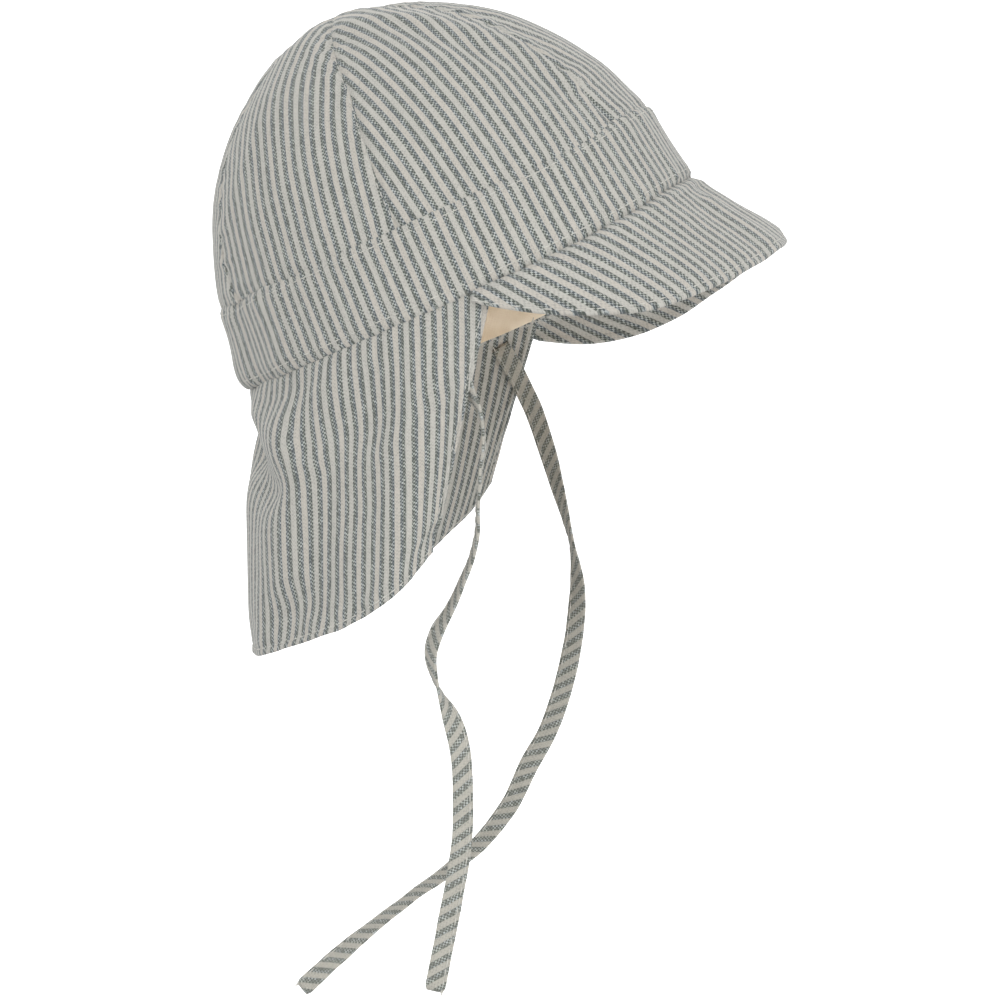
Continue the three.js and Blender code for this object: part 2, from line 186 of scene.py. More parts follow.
# Dents and bulges of the band, places as angle from the front and level, height in metres
BAND_CREASES = table(
    FOLD_COLUMNS,
    (150, 1.0, 152, 0.05, 0.11, -0.0013),
    (158, 0.8, 160, 0.1, 0.12, 0.001),
    (179, 0.25, 172, 0.2, 0.25, 0.0016),
    (142, 0.9, 141, 0.2, 0.14, 0.0007),
    (100, 0.8, 96, 0.2, 0.14, -0.0004),
    (40, 0.9, 44, 0.3, 0.14, -0.0004),
)

# Routes of the two ties down from their seats in the flap, and the turn of the flat tie there
TIE_COLUMNS = "x y z turn"
TIE_RIGHT = table(
    TIE_COLUMNS,
    (-0.0645, -0.0066, -0.036, 10),
    (-0.0636, -0.0103, -0.043, 50),
    (-0.0625, -0.0137, -0.05, 76),
    (-0.0615, -0.015, -0.059, 84),
    (-0.061, -0.0139, -0.0695, 84),
    (-0.06, -0.0129, -0.0806, 78),
    (-0.059, -0.0122, -0.0913, 72),
    (-0.0575, -0.0085, -0.1025, 66),
    (-0.056, -0.0026, -0.1148, 56),
    (-0.055, 0.0016, -0.122, 40),
    (-0.054, 0.0037, -0.131, 52),
    (-0.053, 0.001, -0.1407, 86),
    (-0.0523, -0.003, -0.15, 140),
    (-0.0513, -0.0058, -0.161, 165),
    (-0.05, -0.0065, -0.1768, 180),
    (-0.049, -0.0059, -0.191, 180),
    (-0.0482, -0.0034, -0.206, 180),
    (-0.0475, 0, -0.223, 180),
    (-0.047, 0.0034, -0.2398, 180),
)
TIE_LEFT = table(
    TIE_COLUMNS,
    (0.0684, -0.0026, -0.019, 0),
    (0.0687, -0.007, -0.0263, 0),
    (0.0691, -0.0112, -0.0347, 4),
    (0.0682, -0.0147, -0.042, 8),
    (0.0655, -0.0199, -0.0563, 20),
    (0.063, -0.0238, -0.069, 40),
    (0.0605, -0.0274, -0.0812, 62),
    (0.0585, -0.0299, -0.0912, 72),
    (0.0565, -0.0319, -0.104, 40),
    (0.054, -0.0318, -0.118, 14),
    (0.0515, -0.0285, -0.138, 0),
    (0.049, -0.0226, -0.1567, 0),
    (0.047, -0.0158, -0.1694, 0),
    (0.045, -0.0094, -0.183, 12),
    (0.0425, 0, -0.1955, 30),
    (0.04, 0.011, -0.2055, 46),
    (0.0375, 0.023, -0.2143, 56),
    (0.0355, 0.0357, -0.2241, 50),
    (0.0335, 0.05, -0.236, 30),
    (0.032, 0.063, -0.248, 12),
)


def between(rows, by, column, at):
    """Value of a column at places between a table's rows, on a smooth curve through them."""
    place, value = rows[by], rows[column]
    last = len(place) - 1
    at = np.clip(at, place[0], place[last])
    low = np.clip(np.searchsorted(place, at) - 1, 0, last - 1)
    index = np.arange(last + 1)
    after = np.minimum(index + 1, last)
    before = np.maximum(index - 1, 0)
    slope = (value[after] - value[before]) / (place[after] - place[before])
    span = place[low + 1] - place[low]
    t = (at - place[low]) / span
    blend = t * t * (3 - 2 * t)
    rise = span * t * (1 - t) * ((1 - t) * slope[low] - t * slope[low + 1])
    return value[low] + (value[low + 1] - value[low]) * blend + rise


# Guard against a length of zero, and the spread of the wavelengths in each noise
TINY = 1e-9
SOFT_SPREAD = (0.7, 1.6)
LINE_SPREAD = (0.65, 1.7)


def points_of(x, y, z):
    return np.stack(np.broadcast_arrays(x, y, z), axis=-1)


def unit(vectors):
    length = np.linalg.norm(vectors, axis=-1, keepdims=True)
    return vectors / np.maximum(length, TINY)


def soft_noise(points, wavelength, seed, waves=14):
    """Smooth uneven height from -1 to 1 or so at points, the same each time for one seed."""
    draw = np.random.default_rng(seed)
    direction = unit(draw.normal(size=(waves, 3)))
    length = wavelength * draw.uniform(*SOFT_SPREAD, waves)
    phase = draw.uniform(0, 2 * math.pi, waves)
    turns = points @ direction.T * (2 * math.pi / length) + phase
    return np.sin(turns).sum(axis=-1) * math.sqrt(2 / waves) / 2


def line_noise(along, wavelength, seed, waves=6):
    """Smooth uneven height from -1 to 1 or so along a seam."""
    draw = np.random.default_rng(seed)
    length = wavelength * draw.uniform(*LINE_SPREAD, waves)
    phase = draw.uniform(0, 2 * math.pi, waves)
    total = 0
    for i in range(waves):
        total = total + np.sin(2 * math.pi * along / length[i] + phase[i])
    return total / math.sqrt(2 * waves)


def creases(rows, across, down, shares=(1, 1)):
    """Height of the creases in a table, from each one's distance to its line. Shares scale both ways."""
    total = 0
    for from_across, from_down, to_across, to_down, width, height in zip(*rows.values()):
        line = np.array([to_across - from_across, to_down - from_down]) * shares
        off_across = (across - from_across) * shares[0]
        off_down = (down - from_down) * shares[1]
        near = np.clip((off_across * line[0] + off_down * line[1]) / (line @ line), 0, 1)
        away = np.hypot(off_across - near * line[0], off_down - near * line[1]) / width
        total = total + height * np.exp(-away * away)
    return total


def opening_dip(angle):
    return SIDE_DIP * between(DIP, "angle", "dip", np.abs(angle))


def band_point(angle, level, inset=0):
    """Outer surface of the band, level 0 at its lower edge and 1 at its upper edge."""
    taper = BAND_TAPER * level + inset
    turn = np.radians(angle)
    x = -(HALF_WIDTH - taper) * np.sin(turn)
    y = -(HALF_LENGTH - taper) * np.cos(turn)
    return points_of(x, y, BAND_HEIGHT * level - opening_dip(angle))


def crown_surface(angle, row, sewn=None):
    """Outer surface of the crown, sunk along the seams, which lie where sewn has their angles."""
    sewn = angle if sewn is None else sewn
    rim = band_point(angle, 1)
    facing = np.cos(np.radians(angle))
    columns = ("rise", "front", "side", "back")
    rise, front, side, back = [between(CROWN, "row", column, row) for column in columns]
    reach = side + (np.where(facing > 0, front, back) - side) * facing**2
    x = rim[..., 0] * reach
    y = APEX_BACK + (rim[..., 1] - APEX_BACK) * reach
    z = rim[..., 2] + (CROWN_HEIGHT - rim[..., 2]) * rise
    at_seam = (1 - np.cos(np.radians(GORE_COUNT * sewn))) / 2
    grown = np.minimum(1, SEAM_GROWTH * (1 - reach) + SEAM_SHARE_AT_BAND)
    sink = SEAM_SINK * at_seam * grown * np.minimum(1, SEAM_TIP_GROWTH * reach)
    length = np.linalg.norm(rim, axis=-1)
    outward = unit(points_of(rim[..., 0], rim[..., 1], length * rise))
    return points_of(x, y, z) - outward * sink[..., None]


def peak_size(column, angle):
    """How far the peak reaches out or falls at an angle, on whichever side that is."""
    away = np.abs(angle)
    right = between(PEAK, "angle", column + "Right", away)
    left = between(PEAK, "angle", column + "Left", away)
    return np.where(angle > 0, right, left) * PEAK_DEPTH


def peak_surface(angle, out):
    """Top surface of the peak, out 0 at the band and 1 at the peak's edge."""
    reach = peak_size("reach", angle)
    fall = peak_size("fall", angle)
    turn = np.radians(angle)
    outward = unit(points_of(-np.sin(turn) / HALF_WIDTH, -np.cos(turn) / HALF_LENGTH, 0))
    bow = PEAK_BEND * out * (1 - out)
    point = band_point(angle, 0, -PEAK_PROUD) + outward * (reach * out + fall * bow)[..., None]
    point[..., 2] -= GAP + fall * out - reach * bow
    return point


def lean_back(points):
    """Points of the hat's own frame, leant back as the hat sits on a head."""
    c, s = math.cos(-HEAD_TILT), math.sin(-HEAD_TILT)
    x, y, z = points[..., 0], points[..., 1], points[..., 2]
    return points_of(x, c * y - s * z, s * y + c * z)


def flap_surface(across, down, folded=1):
    """Middle of the flap's cloth, which hangs down from its seam below the band."""
    right = across < 0
    start = np.where(right, FLAP_START_RIGHT, FLAP_START_LEFT)
    angle = 180 - (180 - start) * np.abs(across)
    top = band_point(np.where(right, angle, -angle), 0, FLAP_INSET + FLAP_WALL / 2)
    top[..., 2] -= GAP
    top = lean_back(top)
    corner = np.where(right, CORNER_RIGHT, CORNER_LEFT)
    hem_angle = np.radians(180 - (180 - corner) * np.abs(across))
    plan = points_of(np.where(right, -1, 1) * np.sin(hem_angle), -np.cos(hem_angle), 0 * across)
    bottom = plan * (FLAP_HALF_WIDTH, FLAP_HALF_LENGTH, 0)
    bottom[..., 2] = top[..., 2] - FLAP_DROP * between(HEM, "across", "drop", across)
    flare = between(HEM, "across", "flare", across) * down
    fold = creases(FOLDS, across, down) + creases(FLAP_CREASES, across, down)
    fold = folded * fold * np.minimum(1, down / FOLD_FADE)
    point = top + (bottom - top) * down[..., None]
    return point + plan * (FLAP_DROP * (flare + fold))[..., None]


def grid(columns, rows):
    """Places across and down a sheet, as two arrays with a row for each row of the sheet."""
    return np.meshgrid(columns, rows)


def sheet_normals(points, centre, wrap=False):
    """Unit normals of a grid of points, turned away from a centre."""
    if wrap:
        along = np.roll(points, -1, axis=1) - np.roll(points, 1, axis=1)
    else:
        along = np.gradient(points, axis=1)
    down = np.gradient(points, axis=0)
    normal = unit(np.cross(along, down))
    facing = np.einsum("ijk,ijk->ij", normal, points - centre)
    return normal if facing.mean() > 0 else -normal


def lengths_along(points, axis):
    """Running length along the rows or columns of a grid of points, from its first edge."""
    step = np.linalg.norm(np.diff(points, axis=axis), axis=-1)
    zero = np.zeros_like(np.take(step, [0], axis=axis))
    return np.concatenate([zero, np.cumsum(step, axis=axis)], axis=axis)


RIM_STEPS = 4


def rim_loops(rows, width, wrap):
    """Indices of the edge points of a sheet and of the point inside each, one loop for each edge."""
    at = np.arange(rows * width).reshape(rows, width)
    if wrap:
        return [(at[0], at[1]), (at[-1][::-1], at[-2][::-1])]
    edge = np.concatenate([at[0, :-1], at[:-1, -1], at[-1, :0:-1], at[:0:-1, 0]])
    inside = at.copy()
    inside[0], inside[-1] = at[1], at[-2]
    inside[:, 0], inside[:, -1] = inside[:, 1], inside[:, -2]
    inner = np.concatenate([inside[0, :-1], inside[:-1, -1], inside[-1, :0:-1], inside[:0:-1, 0]])
    return [(edge, inner)]


def quads_between(at, wrap=True):
    """Faces between the rows of a grid of point indices, whose rows may be rings."""
    right = np.roll(at, -1, axis=1) if wrap else at[:, 1:]
    left = at if wrap else at[:, :-1]
    return np.stack([left[:-1], right[:-1], right[1:], left[1:]], axis=-1).reshape(-1, 4)


def cloth_wall(name, outer, inner, cloth_uv, material, wrap=False):
    """Closed wall of cloth between two grids of points, with rounded edges and a UV map in metres."""
    rows, width = outer.shape[:2]
    size = rows * width
    flat_outer, flat_inner = outer.reshape(-1, 3), inner.reshape(-1, 3)
    flat_uv = cloth_uv.reshape(-1, 2)
    points = [flat_outer, flat_inner]
    uvs = [flat_uv, flat_uv]
    quads = quads_between(np.arange(size).reshape(rows, width), wrap)
    faces = [quads, quads[:, ::-1] + size]
    count = 2 * size
    for edge, inside in rim_loops(rows, width, wrap):
        middle = (flat_outer[edge] + flat_inner[edge]) / 2
        half = (flat_outer[edge] - flat_inner[edge]) / 2
        outward = unit(middle - (flat_outer[inside] + flat_inner[inside]) / 2)
        outward = outward * np.linalg.norm(half, axis=1, keepdims=True)
        before = edge
        for step in range(1, RIM_STEPS):
            turn = math.pi * step / RIM_STEPS
            points.append(middle + half * math.cos(turn) + outward * math.sin(turn))
            uvs.append(flat_uv[edge])
            here = count + np.arange(len(edge))
            count += len(edge)
            faces.append(ring_faces(before, here))
            before = here
        faces.append(ring_faces(before, edge + size))
    joined = [np.concatenate(part) for part in (points, faces, uvs)]
    return solid_object(name, *joined, material)


def ring_faces(first, second):
    return np.stack([np.roll(first, -1), first, second, np.roll(second, -1)], axis=-1)


def add_object(name, data):
    thing = bpy.data.objects.new(name, data)
    bpy.context.collection.objects.link(thing)
    return thing


def smooth(mesh):
    mesh.polygons.foreach_set("use_smooth", [True] * len(mesh.polygons))


def solid_object(name, points, faces, uvs, material):
    """Mesh object with faces turned out, smooth shading and a UV for each point."""
    corner = points[faces]
    sides = corner[:, 1:] - corner[:, :1]
    fan = np.cross(sides[:, 0], sides[:, 1]) + np.cross(sides[:, 1], sides[:, 2])
    if (fan * corner.mean(axis=1)).sum() < 0:
        faces = faces[:, ::-1]
    mesh = bpy.data.meshes.new(name)
    mesh.from_pydata(points.tolist(), [], faces.tolist())
    mesh.validate()
    corners = np.empty(len(mesh.loops), np.int32)
    mesh.loops.foreach_get("vertex_index", corners)
    layer = mesh.uv_layers.new(name="Cloth")
    layer.data.foreach_set("uv", uvs[corners].astype(np.float32).ravel())
    smooth(mesh)
    mesh.materials.append(material)
    mesh.update()
    return add_object(name, mesh)


def srgb(red, green, blue):
    """Linear colour from the three values a photograph shows, 0 to 255."""
    shares = [value / 255 for value in (red, green, blue)]
    return [s / 12.92 if s <= 0.04045 else ((s + 0.055) / 1.055) ** 2.4 for s in shares]


# Finish of the cloth and of the sewing thread
CLOTH_LOOKS = {
    "Roughness": 0.9,
    "Specular IOR Level": 0.2,
    "Sheen Weight": 0.25,
    "Sheen Roughness": 0.6,
}
THREAD_LOOKS = {**CLOTH_LOOKS, "Roughness": 0.7}
BUMP_STRENGTH = 0.6
# Sockets of a Mix node that hold colours, by number because several share a name
MIX_COLOURS = (6, 7)
MIX_RESULT = 2


def fill(node, values):
    """Set inputs of a node by their names."""
    for name, value in values.items():
        node.inputs[name].default_value = value


class Shader:
    """Short calls for the nodes of one material."""

    def __init__(self, name):
        self.material = bpy.data.materials.new(name)
        self.material.use_nodes = True
        self.nodes = self.material.node_tree.nodes
        self.links = self.material.node_tree.links
        self.nodes.clear()

    def put(self, value, socket):
        if isinstance(value, bpy.types.NodeSocket):
            self.links.new(value, socket)
        else:
            socket.default_value = value

    def math(self, operation, *values):
        node = self.nodes.new("ShaderNodeMath")
        node.operation = operation
        for value, socket in zip(values, node.inputs):
            self.put(value, socket)
        return node.outputs[0]

    def wave(self, value, length, phase=0.0):
        """Sine of a length along the cloth, one turn for each given length."""
        turns = self.math("MULTIPLY_ADD", value, 2 * math.pi / length, phase)
        return self.math("SINE", turns)

    def step(self, value, low, high):
        node = self.nodes.new("ShaderNodeMapRange")
        node.interpolation_type = "SMOOTHSTEP"
        self.put(value, node.inputs["Value"])
        fill(node, {"From Min": low, "From Max": high})
        return node.outputs["Result"]

    def noise(self, vector, scale, detail=2.0):
        node = self.nodes.new("ShaderNodeTexNoise")
        self.put(vector, node.inputs["Vector"])
        fill(node, {"Scale": scale, "Detail": detail})
        return node.outputs["Fac"]

    def threads(self, u, v, across, along):
        """Uneven shade of single threads: noise with its own scale across and along the cloth."""
        join = self.nodes.new("ShaderNodeCombineXYZ")
        self.put(self.math("MULTIPLY", u, across), join.inputs[0])
        self.put(self.math("MULTIPLY", v, along), join.inputs[1])
        return self.noise(join.outputs[0], scale=1, detail=1)

    def mix(self, factor, first, second):
        node = self.nodes.new("ShaderNodeMix")
        node.data_type = "RGBA"
        self.put(factor, node.inputs["Factor"])
        for value, index in zip((first, second), MIX_COLOURS):
            colour = value if isinstance(value, bpy.types.NodeSocket) else (*value, 1)
            self.put(colour, node.inputs[index])
        return node.outputs[MIX_RESULT]

    def coordinates(self):
        """Object coordinates, and the two lengths of the cloth's own UV map."""
        source = self.nodes.new("ShaderNodeTexCoord")
        split = self.nodes.new("ShaderNodeSeparateXYZ")
        self.links.new(source.outputs["UV"], split.inputs[0])
        return source.outputs["Object"], split.outputs[0], split.outputs[1]

    def show(self, surface):
        output = self.nodes.new("ShaderNodeOutputMaterial")
        self.links.new(surface.outputs[0], output.inputs["Surface"])
        return self.material

    def finish(self, colour, height, distance, looks=CLOTH_LOOKS):
        bump = self.nodes.new("ShaderNodeBump")
        fill(bump, {"Distance": distance, "Strength": BUMP_STRENGTH})
        self.put(height, bump.inputs["Height"])
        surface = self.nodes.new("ShaderNodeBsdfPrincipled")
        fill(surface, looks)
        self.put(colour, surface.inputs["Base Color"])
        self.links.new(bump.outputs[0], surface.inputs["Normal"])
        return self.show(surface)


WARM_LIGHT = srgb(195, 190, 181)
COOL_LIGHT = srgb(192, 190, 183)
# LIGHT_SHADE: painted shade of the weave in the light stripes, which also carries the threads' uneven
# tone
LIGHT_SHADE = srgb(146, 145, 139)
BLUE_DARK = srgb(79, 86, 88)
GREEN_DARK = srgb(79, 84, 79)
BLUE_PALE = srgb(194, 199, 198)
GREEN_PALE = srgb(192, 196, 189)
# Ties: the same cloth, its dark stripes lifted by painted light and its light stripes darkened by
# painted shade, which flattens their contrast
TIE_DARK_WITH_PAINTED_LIGHT = srgb(103, 106, 99)
TIE_LIGHT_WITH_PAINTED_SHADE = srgb(186, 183, 173)
CREAM = srgb(246, 230, 206)
CREAM_SHADE = srgb(226, 205, 176)
THREAD_SHADE = srgb(184, 183, 176)
THREAD_PALE = srgb(212, 210, 203)

# Half the width of a weave's soft edge, and how far the threads wander sideways
WEAVE_EDGE = 0.12
WANDER = 0.0004
# Share of a fleck or thread that shows in the dark and light stripes, and what is added to it. In the
# light stripes this is painted shade of the weave, patchy by flecks, and uneven tone of single warp
# threads
FLECK_SHOWN = (0.6, 0.24)
WEFT_SHOWN = (0.6, -0.3)
FLECK_WEAVE_SHADE = (0.35, 0.1)
WARP_THREAD_TONE = (0.5, -0.2)
# Heights beside those that the weave and the lining's painted-shade hollows have
FLECK_HEIGHT = 0.4
CREAM_WEAVE = 0.5


def plain_weave(shader, u, v):
    """Height of a plain weave, from 0 where one thread is on top to 1 where the crossing one is."""
    across = shader.wave(u, 2 * THREAD)
    along = shader.wave(v, 2 * THREAD)
    return shader.step(shader.math("MULTIPLY", across, along), -WEAVE_EDGE, WEAVE_EDGE)


def striped_cotton(name, darks, lights):
    """Plain-woven cotton: dark stripes of blue-grey and green-grey warp, crossed by a pale weft."""
    shader = Shader(name)
    place, u, v = shader.coordinates()
    wander = shader.math("MULTIPLY_ADD", shader.noise(place, scale=260), WANDER, -WANDER / 2)
    u_loose = shader.math("ADD", u, wander)
    v_loose = shader.math("ADD", v, wander)
    weave = plain_weave(shader, u_loose, v_loose)
    stripe = shader.step(shader.wave(u_loose, STRIPE_REPEAT), low=-0.12, high=0.2)
    pair = shader.step(shader.wave(u, 2 * STRIPE_REPEAT, math.pi / 4), low=-0.3, high=0.3)
    warp = shader.threads(u, v, across=1 / THREAD, along=45)
    weft = shader.threads(u, v, across=60, along=1 / THREAD)
    fleck = shader.step(shader.noise(place, scale=850), low=0.38, high=0.62)
    dark_warp = shader.mix(pair, *darks)
    pale_weft = shader.mix(pair, BLUE_PALE, GREEN_PALE)
    shown = shader.math("MULTIPLY_ADD", fleck, *FLECK_SHOWN)
    shown = shader.math("ADD", shown, shader.math("MULTIPLY_ADD", weft, *WEFT_SHOWN))
    dark = shader.mix(shader.math("MULTIPLY", weave, shown), dark_warp, pale_weft)
    light = shader.mix(pair, *lights)
    # Light stripes: painted shade of the weave, patchy by flecks, plus uneven tone of single warp
    # threads, mixed towards LIGHT_SHADE
    weave_shade_and_tone = shader.math("MULTIPLY", weave, shader.math("MULTIPLY_ADD", fleck, *FLECK_WEAVE_SHADE))
    weave_shade_and_tone = shader.math("ADD", weave_shade_and_tone, shader.math("MULTIPLY_ADD", warp, *WARP_THREAD_TONE))
    light = shader.mix(weave_shade_and_tone, light, LIGHT_SHADE)
    colour = shader.mix(stripe, dark, light)
    height = shader.math("ADD", weave, shader.math("MULTIPLY", fleck, FLECK_HEIGHT))
    return shader.finish(colour, height, distance=0.0002)


def cream_cotton(name):
    """Plain cream cotton of the lining, a little darker in its hollows, where shade is painted into its
    colour.
    """
    shader = Shader(name)
    place, u, v = shader.coordinates()
    weave = plain_weave(shader, u, v)
    # Painted shade: one noise both sinks the relief and darkens its hollows towards CREAM_SHADE
    hollow_shade = shader.step(shader.noise(place, scale=70, detail=3), low=0.35, high=0.65)
    colour = shader.mix(hollow_shade, CREAM_SHADE, CREAM)
    height = shader.math("ADD", shader.math("MULTIPLY", weave, CREAM_WEAVE), hollow_shade)
    return shader.finish(colour, height, distance=0.0006)


def sewing_thread(name):
    """Off-white sewing thread with a fine twist."""
    shader = Shader(name)
    place = shader.coordinates()[0]
    twist = shader.noise(place, scale=2500)
    colour = shader.mix(twist, THREAD_SHADE, THREAD_PALE)
    return shader.finish(colour, twist, distance=0.00006, looks=THREAD_LOOKS)


# How finely each piece is divided, as columns and rows
GORE_GRID = (72, 84)
BAND_GRID = (480, 24)
PEAK_GRID = (240, 44)
FLAP_GRID = (300, 110)
LINING_GRID = (150, 60)
TIE_STEPS = 10
TIE_SIDES = 20

# Seams and hems: depth of the groove, its width, and the puckers that the thread draws in
GROOVE_DEPTH = 0.0009
GROOVE_WIDTH = 0.0011
PUCKER_HEIGHT = 0.0006
PUCKER_REACH = 0.0055
PUCKER_LENGTH = 0.0075
STITCH_INSET = 0.0019
STITCH_DENT = 0.0003
STITCH_DENT_WIDTH = 0.0007
SEAM_STITCH_INSET = 0.0005
BILLOW = 0.0003
BILLOW_LENGTH = 0.024
HEM_WIDTH = 0.0019
HEM_LIFT = 0.00025
EDGE_CURL = 0.0007
CURL_WIDTH = 0.0016

# Points that the surfaces face away from
CROWN_CENTRE = np.array([0, APEX_BACK, 0])
BAND_CENTRE = np.array([0, 0, 0.01])
PEAK_CENTRE = np.array([0, 0, -0.06])
# Angle that counts like one row of the crown, and like the whole height of the band or peak
ROW_ANGLE = 11
LEVEL_ANGLE = 60

# The gores' columns crowd towards the seams, and their relief fades where a gore gets narrow
GORE_CROWDING = 1.25
GORE_FADE = 0.012


def wrapped(angle):
    return (angle + 180) % 360 - 180


def seam_relief(away, along, seed, dented=1, share=1):
    """Height of the cloth beside a seam, or a share of it: groove, puckers and dent of the stitches."""
    groove = -GROOVE_DEPTH * np.exp(-((away / GROOVE_WIDTH) ** 2))
    pucker = PUCKER_HEIGHT * np.exp(-away / PUCKER_REACH) * line_noise(along, PUCKER_LENGTH, seed)
    dent = -dented * STITCH_DENT * np.exp(-(((away - STITCH_INSET) / STITCH_DENT_WIDTH) ** 2))
    return share * (groove + pucker * np.minimum(1, away / GROOVE_WIDTH) + dent)


def cloth_uv(points, middle):
    """UV lengths of a grid of points: along each row from its middle, and down each column."""
    across = lengths_along(points, 1)
    across = across - across[:, middle:middle + 1]
    return np.stack([across, lengths_along(points, 0)], axis=-1)


def crown_panel(index, material):
    """One gore of the crown, its stripes level with its own middle line, puckered at its seams."""
    columns, rows = GORE_GRID
    half = 180 / GORE_COUNT
    share = np.sin(np.linspace(-1, 1, columns + 1) * GORE_CROWDING) / math.sin(GORE_CROWDING)
    centre = index * 360 / GORE_COUNT
    angle, row = grid(centre + half * share, GORE_TIP * np.linspace(0, 1, rows + 1))
    drifted = angle
    for seam, drift in SEAM_DRIFT.items():
        near_seam = np.clip(1 - np.abs(angle - seam) / half, 0, 1) ** 2
        drifted = drifted + between(drift, "row", "drift", row) * near_seam
    base = crown_surface(wrapped(drifted), row, angle)
    normal = sheet_normals(base, CROWN_CENTRE)
    uv = cloth_uv(base, columns // 2)
    reach = lengths_along(base, 1)
    to_seam = np.minimum(reach, reach[:, -1:] - reach)
    up = uv[..., 1]
    left = seam_relief(to_seam, up, seed=10 + index, dented=0)
    right = seam_relief(to_seam, up, seed=10 + (index + 1) % GORE_COUNT, dented=0)
    relief = np.where(angle > centre, right, left) * np.minimum(1, reach[:, -1:] / GORE_FADE)
    relief = relief + seam_relief(up, base[..., 0] + base[..., 1], seed=30, share=0.6)
    relief = relief + creases(CROWN_CREASES, wrapped(angle), row, shares=(1 / ROW_ANGLE, 1))
    relief = relief + BILLOW * soft_noise(base, BILLOW_LENGTH, seed=3)
    outer = base + normal * (relief - CROWN_INSET)[..., None]
    inner = outer - normal * CROWN_WALL
    name = f"crown_gore_{index + 1}"
    piece = cloth_wall(name, lean_back(outer), lean_back(inner), uv, material)
    attach(piece, "striped_cotton", f"crown_panel_{index + 1}")
    # The stitches run up two thirds of the seam
    column = place_from_edge(reach[rows // 3], SEAM_STITCH_INSET)
    lower = 2 * rows // 3
    stitch_rows.append(stitch_row(outer[:lower], normal[:lower], column=column))


def place_from_edge(lengths, inset):
    """Index of the grid line that lies about so far in from the first edge."""
    return int(np.argmin(np.abs(lengths - inset)))


# Lines of stitches that the pieces below add, as points and normals
stitch_rows = []


def stitch_row(points, normals, column=None, row=None):
    """Points and normals along one row or column of a sheet, leant back with the hat."""
    line = points[:, column] if row is None else points[row]
    lift = normals[:, column] if row is None else normals[row]
    return lean_back(line), lean_back(lift)


def closed(line):
    points, normals = line
    return np.concatenate([points, points[:1]]), np.concatenate([normals, normals[:1]])


def attach(piece, slot, *nodes):
    """The piece rides with the hat and stands for its CAD nodes, which it hides. The slot is not used.
    """
    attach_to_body(piece, "root")
    if nodes:
        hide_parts(*nodes)


def band(material):
    """The band, puckered along both of its seams, with stripes square to its edges."""
    columns, rows = BAND_GRID
    angle, level = grid(np.arange(columns) * 360 / columns - 180, np.linspace(0, 1, rows + 1))
    base = band_point(angle, level)
    normal = sheet_normals(base, BAND_CENTRE, wrap=True)
    closed_row = np.concatenate([base, base[:, :1]], axis=1)
    round_band = lengths_along(closed_row, 1)
    repeats = round(round_band[0, -1] / (2 * STRIPE_REPEAT))
    across = round_band[:, :-1] / round_band[:, -1:] * repeats * 2 * STRIPE_REPEAT
    down = lengths_along(base, 0)
    uv = np.stack([across, down], axis=-1)
    low = seam_relief(down, across, seed=41)
    high = seam_relief(down[-1:] - down, across, seed=42)
    relief = low + high + creases(BAND_CREASES, angle, level, shares=(1 / LEVEL_ANGLE, 1))
    relief = relief + BILLOW * soft_noise(base, BILLOW_LENGTH, seed=5)
    outer = base + normal * relief[..., None]
    inner = outer - normal * BAND_WALL
    piece = cloth_wall("hat_band", lean_back(outer), lean_back(inner), uv, material, wrap=True)
    attach(piece, "striped_cotton", "band")
    for inset in (STITCH_INSET, down[-1, 0] - STITCH_INSET):
        row = place_from_edge(down[:, 0], inset)
        stitch_rows.append(closed(stitch_row(outer, normal, row=row)))


# Share of the lining's height inside the band, its slack and its wrinkles
LINING_BAND_SHARE = 0.25
LINING_SLACK = 0.002
LINING_SLACK_GROWTH = 8
WRINKLE_HEIGHT = 0.0007
WRINKLE_LENGTH = 0.011


def lining(material):
    """Cream cotton inside the band and crown, with soft wrinkles."""
    columns, rows = LINING_GRID
    share = np.linspace(0, 1, rows + 1)
    angle, place = grid(np.arange(columns) * 360 / columns - 180, share)
    above = (place - LINING_BAND_SHARE) / (1 - LINING_BAND_SHARE)
    low = (place < LINING_BAND_SHARE)[..., None]
    inset = BAND_WALL + GAP
    on_band = band_point(angle, np.minimum(1, place / LINING_BAND_SHARE), inset)
    on_crown = crown_surface(angle, np.clip(above, 0, 1) * GORE_TIP)
    crown_normal = sheet_normals(on_crown, CROWN_CENTRE, wrap=True)
    on_crown = on_crown - crown_normal * (inset + CROWN_INSET)
    base = np.where(low, on_band, on_crown)
    normal = np.where(low, sheet_normals(base, CROWN_CENTRE, wrap=True), crown_normal)
    wrinkle = WRINKLE_HEIGHT * soft_noise(base, WRINKLE_LENGTH, seed=8)
    eased = np.minimum(1, place * LINING_SLACK_GROWTH)
    outer = base - normal * (LINING_SLACK + wrinkle)[..., None] * eased[..., None]
    inner = outer - normal * LINING_WALL
    uv = np.stack([base[..., 0] + base[..., 1], base[..., 2]], axis=-1)
    piece = cloth_wall("head_lining", lean_back(outer), lean_back(inner), uv, material, wrap=True)
    attach(piece, "lining_cotton", "lining")


# How far the peak's stripes turn from straight outwards, by angle from the front
PEAK_GRAIN = table("angle turn", (0, 0), (30, 10), (60, 28), (86, 30))
PEAK_CREASES = table(
    FOLD_COLUMNS,
    (-30, 0.13, 24, 0.13, 0.14, -0.0008),
    (-34, 0.42, 20, 0.42, 0.34, -0.0016),
    (-6, 0.1, -12, 0.9, 0.1, 0.0017),
    (6, 0.1, 3, 0.9, 0.08, -0.0014),
    (14, 0.3, 12, 1, 0.08, 0.0013),
    (21, 0.3, 19, 1, 0.08, -0.0009),
    (-24, 0.2, -30, 1, 0.12, -0.0012),
    (-44, 0.3, -48, 1, 0.14, 0.001),
    (30, 0.5, 34, 1, 0.12, -0.0005),
)
RIPPLE_FADE = 0.1
# The peak's root goes in under the band by this much, back from where this row lies
PEAK_TUCK = 0.0016
TUCK_ROW = 4


